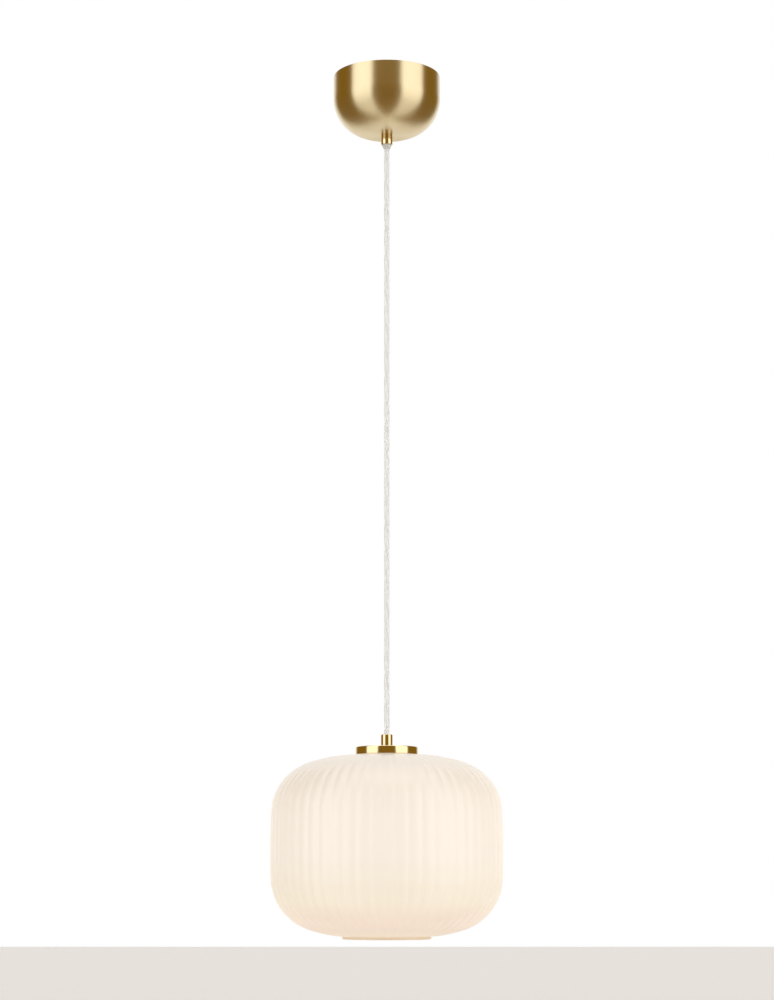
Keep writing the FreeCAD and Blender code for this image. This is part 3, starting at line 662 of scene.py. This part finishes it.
class PENDANT_OT_cord(bpy.types.Operator):
    """Straight clear cord with two twisted cores inside its sheath"""

    bl_idname = "pendant.cord"
    bl_label = "Hanging Cord"

    straight_ends = 160 * MM
    tuck_share = 0.7
    core_share = 0.39
    core_spacing = 1.06
    core_turn = radians(25)
    core_tuck = 0.5 * MM
    steps_per_turn = 20

    def execute(self, context):
        lay = context.scene.pendant_sizes.core_lay
        radius = radius_of("hanging_cord")
        top, foot = top_of("hanging_cord"), foot_of("hanging_cord")
        tuck = radius * self.tuck_share
        cores = self.cores(lay, radius, top - tuck, foot + tuck)
        curve = bpy.data.curves.new("hanging_cord_sheath", "CURVE")
        curve.dimensions = "3D"
        spline = curve.splines.new("NURBS")
        heights = [
            top - tuck, top - self.straight_ends, (top + foot) / 2, foot + self.straight_ends,
            foot + tuck]
        spline.points.add(len(heights) - 1)
        for point, height in zip(spline.points, heights):
            point.co = (0, 0, height, 1)
        spline.order_u = 3
        spline.use_endpoint_u = True
        curve.bevel_depth = radius
        curve.bevel_resolution = 10
        curve.resolution_u = 8
        curve.use_fill_caps = True
        curve.materials.append(finish("clear_sheath"))
        sheath = bpy.data.objects.new("hanging_cord_sheath", curve)
        context.collection.objects.link(sheath)
        place_piece(sheath, "cord", "clear_sheath", "hanging_cord")
        return {"FINISHED"}

    def cores(self, lay, radius, top, foot):
        """Each core is a round section swept down and round the cord's middle."""
        thick = radius * self.core_share
        turns = (top - foot) / lay
        steps = int(turns * self.steps_per_turn)
        drop = -(top - foot - 2 * self.core_tuck) / steps
        start = Matrix.Translation((thick * self.core_spacing, 0, top - self.core_tuck))
        made = []
        for index, name in enumerate(("live_core_strand", "neutral_core_strand")):
            bm = bmesh.new()
            turn = Matrix.Rotation(pi * index + self.core_turn, 4, "Z")
            ring = bmesh.ops.create_circle(
                bm, cap_ends=True, radius=thick, segments=12, matrix=turn @ start)
            whole = ring["verts"] + list(bm.edges) + list(bm.faces)
            bmesh.ops.spin(
                bm, geom=whole, cent=(0, 0, 0), axis=(0, 0, 1), dvec=(0, 0, drop),
                angle=2 * pi * turns, steps=steps, use_merge=False, use_duplicate=False)
            core = new_piece(name, bm, finish("pale_core"))
            place_piece(core, "cord", "pale_core")
            made.append(core)
        return made


class PENDANT_OT_shade_fitting(bpy.types.Operator):
    """Polished cord grip and the shallow cap over the glass"""

    bl_idname = "pendant.shade_fitting"
    bl_label = "Grip and Cap"

    grip_seat = 6 * MM
    cap_wall = 2 * MM

    def execute(self, context):
        self.grip()
        self.cap()
        return {"FINISHED"}

    def grip(self):
        radius = radius_of("lower_cord_grip")
        top, foot = top_of("lower_cord_grip"), foot_of("lower_cord_grip")
        bore = radius_of("hanging_cord") + 0.4 * MM
        thread = bore + 2 * MM
        outline = rounded([
            (bore, top - self.grip_seat), (bore, top, 0.2 * MM), (radius, top, 0.7 * MM),
            (radius, foot, 0.15 * MM), (thread, foot), (thread, top - self.grip_seat)])
        turned_piece(
            "lower_cord_grip_skin", outline, "shade", "polished_brass", "lower_cord_grip")

    def cap(self):
        radius, top, foot = radius_of("cap_disc"), top_of("cap_disc"), foot_of("cap_disc")
        hole, wall = radius_of("shade_nipple"), self.cap_wall
        outline = rounded([
            (hole, top), (radius, top, 0.9 * MM), (radius, foot, 0.25 * MM),
            (radius - wall, foot, 0.25 * MM), (radius - wall, top - wall, 0.5 * MM),
            (hole, top - wall)], 6)
        turned_piece(
            "cap_disc_skin", outline, "shade", "polished_brass", "cap_disc", steps=192)


class PENDANT_OT_glass(bpy.types.Operator):
    """Blown opal shade: fluted outside, smooth inside, open at the collar"""

    bl_idname = "pendant.glass"
    bl_label = "Glass Shade"

    neck = 21 * MM
    flat = 33.5 * MM
    collar = 47.5 * MM
    collar_height = 2.7 * MM
    below_widest = 95.1 * MM
    shoulder, crown, belly = 55.6 * MM, 74.4 * MM, 59.9 * MM
    upper_turns = tuple(radians(turn) for turn in (0, 2.4, 58.8, 73.2, 90))
    lower_turns = tuple(radians(turn) for turn in (0, 3.0, 72.0, 85.1))
    lip = 0.8 * MM
    fade_in = 26 * MM
    slices_per_flute = 10

    def execute(self, context):
        sizes = context.scene.pendant_sizes
        top, foot = top_of("glass_shade"), foot_of("glass_shade")
        thin, collar = sizes.glass_wall, self.collar
        outer = self.wall(top, foot, 0.0, 16)
        inner = self.wall(top, foot, thin, 6)
        rim = rounded([
            (collar, foot + self.collar_height), (collar, foot, self.lip),
            (collar - thin, foot, self.lip), (collar - thin, inner[-1].y)], 4)
        outline = [Vector((self.neck, top)), *outer, *rim[1:], *inner[::-1],
                   Vector((self.neck, top - thin))]

        def flute(bm):
            self.flute(bm, sizes, top, foot)

        turned_piece(
            "glass_shade_fluted", outline, "shade", "opal_glass", "glass_shade",
            steps=sizes.ribs * self.slices_per_flute, smooth=50, shape=flute)
        return {"FINISHED"}

    def wall(self, top, foot, inset, fineness):
        """Tangent arcs from the flat neck to the collar, moved in by inset."""
        widest = radius_of("glass_shade")
        middle = foot + self.below_widest
        above = self.half(
            (self.shoulder, self.crown), self.upper_turns, top - middle, widest - self.flat)
        below = self.half(
            (self.belly,), self.lower_turns, self.below_widest - self.collar_height,
            widest - self.collar)
        runs = []
        for radii, turns, way in ((above, self.upper_turns, 1), (below, self.lower_turns, -1)):
            at = Vector((widest - inset, middle))
            points = [at.copy()]
            for radius, start, end in zip(radii, turns, turns[1:]):
                bend = radius - inset
                centre = at - Vector((bend * cos(start), way * bend * sin(start)))
                count = max(3, round(fineness * (end - start) / 0.6), fineness // 3)
                points += list(arc_points(centre, bend, way * start, way * end, count))[1:]
                at = points[-1]
            runs.append(points)
        return runs[0][::-1] + runs[1][1:]

    def half(self, known, turns, height, width):
        """Radii of all arcs of one half: the first and the last close the height and width."""
        for radius, start, end in zip(known, turns[1:], turns[2:]):
            height -= radius * (sin(end) - sin(start))
            width -= radius * (cos(start) - cos(end))
        side, inner, outer = turns[1], turns[-2], turns[-1]
        climb, come_in = sin(outer) - sin(inner), cos(inner) - cos(outer)
        whole = sin(side) * come_in - (1 - cos(side)) * climb
        first = (height * come_in - width * climb) / whole
        last = (width * sin(side) - height * (1 - cos(side))) / whole
        return (first, *known, last)

    def flute(self, bm, sizes, top, foot):
        """Press rounded flutes with narrow valleys into the outer wall; they fade at both ends."""
        bmesh.ops.remove_doubles(bm, verts=bm.verts, dist=1e-7)
        bmesh.ops.recalc_face_normals(bm, faces=bm.faces)
        bm.normal_update()
        middle = foot + self.below_widest
        widest = radius_of("glass_shade")
        for vert in bm.verts:
            across = Vector((vert.co.x, vert.co.y, 0))
            out = across.normalized() * (across.length - self.neck)
            out.z = vert.co.z - middle
            if vert.normal.dot(out) <= 0 or across.length < self.flat:
                continue
            end = self.flat if vert.co.z > middle else self.collar
            share = min(1.0, max(0.0, (across.length - end) / self.fade_in))
            fade = share * share * (3 - 2 * share) * across.length / widest
            around = atan2(vert.co.y, vert.co.x) - FRONT - sizes.rib_turn
            valley = 1 - abs(cos(sizes.ribs * around / 2))
            vert.co -= vert.normal * sizes.rib_depth * fade * valley


class PENDANT_OT_bulb(bpy.types.Operator):
    """Opal bulb with its housing and nickel screw cap"""

    bl_idname = "pendant.bulb"
    bl_label = "Bulb"

    wall = 1.2 * MM
    housing_neck = 14.3 * MM
    housing_step = 3 * MM
    housing_bend = 4 * MM
    thread_wall = 1.4 * MM
    thread_depth = 0.9 * MM
    thread_start = 2 * MM

    def execute(self, context):
        self.globe()
        self.housing()
        self.screw_cap(context.scene.pendant_sizes.thread_pitch)
        return {"FINISHED"}

    def globe(self):
        radius, top, foot = radius_of("bulb_globe"), top_of("bulb_globe"), foot_of("bulb_globe")
        mouth = radius_of("bulb_housing")
        centre = foot + radius
        start = asin((top - centre) / radius)
        thin = radius - self.wall
        end = acos((mouth - self.wall) / thin)
        outline = [
            *arc_points((0, centre), radius, start, -pi / 2, 28),
            *arc_points((0, centre), thin, -pi / 2, end, 20)]
        turned_piece(
            "bulb_globe_dome", outline, "bulb", "opal_plastic", "bulb_globe", closed=False)

    def housing(self):
        wide = radius_of("bulb_housing")
        top, foot = top_of("bulb_housing"), foot_of("bulb_housing")
        neck, wall, step, bend = self.housing_neck, self.wall, self.housing_step, self.housing_bend
        outline = rounded([
            (0, top), (neck, top, 0.6 * MM), (neck, top - step, bend),
            (wide, foot + bend, bend), (wide, foot, 0.2 * MM), (wide - wall, foot),
            (wide - wall, foot + bend), (neck - wall, top - step), (0, top - step)], 6)
        turned_piece(
            "bulb_housing_shell", outline, "bulb", "white_plastic", "bulb_housing", closed=False)

    def screw_cap(self, pitch):
        radius = radius_of("bulb_screw_cap")
        top, foot = top_of("bulb_screw_cap"), foot_of("bulb_screw_cap")
        inner = radius - self.thread_wall
        shoulder = top - self.thread_start
        outline = [
            Vector((0, top)), Vector((radius * 0.85, top)),
            *rows_between(radius, shoulder, foot, 80),
            Vector((inner, foot)), Vector((inner, shoulder)), Vector((0, shoulder))]
        turned_piece(
            "bulb_screw_cap_thread", outline, "bulb", "nickel", "bulb_screw_cap", steps=72,
            closed=False, shape=rolled(radius, shoulder, foot, pitch, self.thread_depth))


class PENDANT_OT_nipples(bpy.types.Operator):
    """Threaded tubes through the bracket and through the shade's cap"""

    bl_idname = "pendant.nipples"
    bl_label = "Threaded Nipples"

    wall = 1.25 * MM
    pitch = 1 * MM
    depth = 0.45 * MM
    rows_per_pitch = 5

    def execute(self, context):
        for node, body in (("canopy_nipple", "canopy"), ("shade_nipple", "shade")):
            radius, top, foot = radius_of(node), top_of(node), foot_of(node)
            bore = radius - self.wall
            rows = round((top - foot) / (self.pitch / self.rows_per_pitch))
            outline = rows_between(radius, top, foot, rows)
            outline += [Vector((bore, foot)), Vector((bore, top))]
            turned_piece(
                f"{node}_thread", outline, body, "zinc_steel", node, steps=48,
                shape=rolled(radius, top, foot, self.pitch, self.depth))
        return {"FINISHED"}


class PENDANT_OT_lampholder(bpy.types.Operator):
    """Domed cap and skirt of the lampholder, with softened edges"""

    bl_idname = "pendant.lampholder"
    bl_label = "Lampholder"

    neck = 8.5 * MM
    neck_height = 3 * MM
    neck_depth = 8 * MM
    wall = 2 * MM
    fit = 0.05 * MM
    lining = 0.65 * MM

    def execute(self, context):
        self.dome()
        self.skirt()
        return {"FINISHED"}

    def dome(self):
        radius = radius_of("lampholder_cap")
        top, seam = top_of("lampholder_cap"), foot_of("lampholder_cap")
        neck, wall, thread = self.neck, self.wall, radius_of("shade_nipple") + self.fit
        collar = top - self.neck_height
        shoulder = collar - 1 * MM
        outline = rounded([
            (thread, top), (neck, top, 0.4 * MM), (neck, collar, 1 * MM),
            (radius, shoulder, 9 * MM), (radius, seam, 0.4 * MM), (radius - wall, seam),
            (radius - wall, shoulder - wall, 7 * MM), (neck, collar - wall),
            (neck, top - self.neck_depth), (thread, top - self.neck_depth)], 8)
        turned_piece(
            "lampholder_cap_dome", outline, "shade", "white_plastic", "lampholder_cap")

    def skirt(self):
        radius, seam = radius_of("lampholder_cap"), foot_of("lampholder_cap")
        top, foot = top_of("lampholder_skirt"), foot_of("lampholder_skirt")
        socket, ledge = radius_of("contact_block") - 0.6 * MM, foot_of("contact_block")
        spigot, lined = radius - self.wall - self.fit, socket + self.lining
        outline = rounded([
            (lined, top), (spigot, top, 0.3 * MM), (spigot, seam), (radius, seam, 0.4 * MM),
            (radius, foot, 0.8 * MM), (socket, foot, 0.8 * MM), (socket, ledge),
            (lined, ledge)], 6)
        turned_piece(
            "lampholder_skirt_shell", outline, "shade", "white_plastic", "lampholder_skirt")


class PENDANT_OT_hardware(bpy.types.Operator):
    """Finishes for the CAD pieces that keep their own shape"""

    bl_idname = "pendant.hardware"
    bl_label = "Hardware Finishes"

    def execute(self, context):
        slots = {entry["node"]: entry["material_slot"] for entry in frame["record"]["subparts"]}
        for name, node in frame["nodes"].items():
            node.data.materials.clear()
            node.data.materials.append(finish(slots[name]))
        return {"FINISHED"}


class PENDANT_OT_stage(bpy.types.Operator):
    """Pale floor, white surroundings, soft studio lights and the camera"""

    bl_idname = "pendant.stage"
    bl_label = "Stage"

    floor_height = -2.45
    floor_reach = 60.0
    overhead = 1.6
    softbox_height = 3.2
    softbox_distance = 2.5
    eye = (0.0002, -2.5338, -0.9035)
    tilt = radians(99.397)
    lens = 84.2

    def execute(self, context):
        self.floor(context)
        self.surroundings(context)
        self.lights(context)
        self.camera(context)
        context.scene.view_settings.view_transform = "Standard"
        return {"FINISHED"}

    def floor(self, context):
        bm = bmesh.new()
        bmesh.ops.create_grid(
            bm, x_segments=1, y_segments=1, size=self.floor_reach,
            matrix=Matrix.Translation((0, 0, self.floor_height)))
        mesh = bpy.data.meshes.new("floor")
        bm.to_mesh(mesh)
        bm.free()
        mesh.materials.append(floor_finish())
        floor = bpy.data.objects.new("floor", mesh)
        context.collection.objects.link(floor)

    def surroundings(self, context):
        """White to the eye and through clear pieces; everything else sees the studio's bands."""
        world = bpy.data.worlds.new("studio")
        context.scene.world = world
        world.use_nodes = True
        tree = world.node_tree
        place = tree.nodes.new("ShaderNodeTexCoord").outputs["Generated"]
        bands = use_effect(tree, studio_bands(), Direction=place)
        overhead = ramp(tree, height_in(tree, place), [(0.78, (0, 0, 0)), (0.92, (1, 1, 1))], True)
        tone = mix_colours(tree, overhead, bands["Tone"], (*(self.overhead,) * 3, 1))
        around = tree.nodes["Background"]
        tree.links.new(tone, around.inputs["Color"])
        plain = tree.nodes.new("ShaderNodeBackground")
        plain.inputs["Color"].default_value = (1, 1, 1, 1)
        path = tree.nodes.new("ShaderNodeLightPath").outputs
        seen = math(tree, "MAXIMUM", path["Is Camera Ray"], path["Is Transmission Ray"])
        mix_shaders(tree, seen, around, plain, "World Output")

    def lights(self, context):
        """Two softboxes in front, and one beside that only lights what isn't glossy."""
        middle = (cad_box[0] + cad_box[1]) / 2
        for name, azimuth, width, energy, mirrored in (
                ("left_softbox", -55, 2.2, 12.5, True), ("right_softbox", 56.5, 2.4, 13.5, True),
                ("side_softbox", 104, 1.4, 10, False)):
            light = bpy.data.lights.new(name, "AREA")
            light.shape = "RECTANGLE"
            light.size, light.size_y = width, self.softbox_height
            light.energy = energy
            lamp = bpy.data.objects.new(name, light)
            away = Vector((sin(radians(azimuth)), -cos(radians(azimuth)), 0.3))
            lamp.location = middle + away * self.softbox_distance
            lamp.rotation_euler = away.to_track_quat("Z", "Y").to_euler()
            lamp.visible_camera = False
            lamp.visible_glossy = mirrored
            context.collection.objects.link(lamp)

    def camera(self, context):
        data = bpy.data.cameras.new("camera")
        data.lens = self.lens
        data.sensor_width = 36
        data.clip_end = 100
        camera = bpy.data.objects.new("camera", data)
        camera.location = self.eye
        camera.rotation_euler = (self.tilt, 0, 0)
        context.collection.objects.link(camera)
        context.scene.camera = camera


class PENDANT_PT_panel(bpy.types.Panel):
    """Buttons for the pendant light's pieces"""

    bl_idname = "PENDANT_PT_panel"
    bl_label = "Pendant Light"
    bl_space_type = "VIEW_3D"
    bl_region_type = "UI"
    bl_category = "Pendant"

    def draw(self, context):
        for operator in OPERATORS:
            self.layout.operator(operator.bl_idname)
        for group in (context.scene.pendant_sizes, context.scene.pendant_colours):
            box = self.layout.box()
            for name in group.bl_rna.properties.keys():
                if name not in {"rna_type", "name"}:
                    box.prop(group, name)


OPERATORS = (
    PENDANT_OT_hardware, PENDANT_OT_canopy, PENDANT_OT_gland, PENDANT_OT_cord,
    PENDANT_OT_nipples, PENDANT_OT_shade_fitting, PENDANT_OT_glass, PENDANT_OT_lampholder,
    PENDANT_OT_bulb, PENDANT_OT_stage)
CLASSES = (PendantSizes, PendantColours, *OPERATORS, PENDANT_PT_panel)


def register():
    for item in CLASSES:
        bpy.utils.register_class(item)
    bpy.types.Scene.pendant_sizes = PointerProperty(type=PendantSizes)
    bpy.types.Scene.pendant_colours = PointerProperty(type=PendantColours)


def unregister():
    del bpy.types.Scene.pendant_colours
    del bpy.types.Scene.pendant_sizes
    for item in reversed(CLASSES):
        bpy.utils.unregister_class(item)


def main():
    register()
    for operator in OPERATORS:
        group, name = operator.bl_idname.split(".")
        getattr(getattr(bpy.ops, group), name)()


if __name__ == "__main__":
    main()
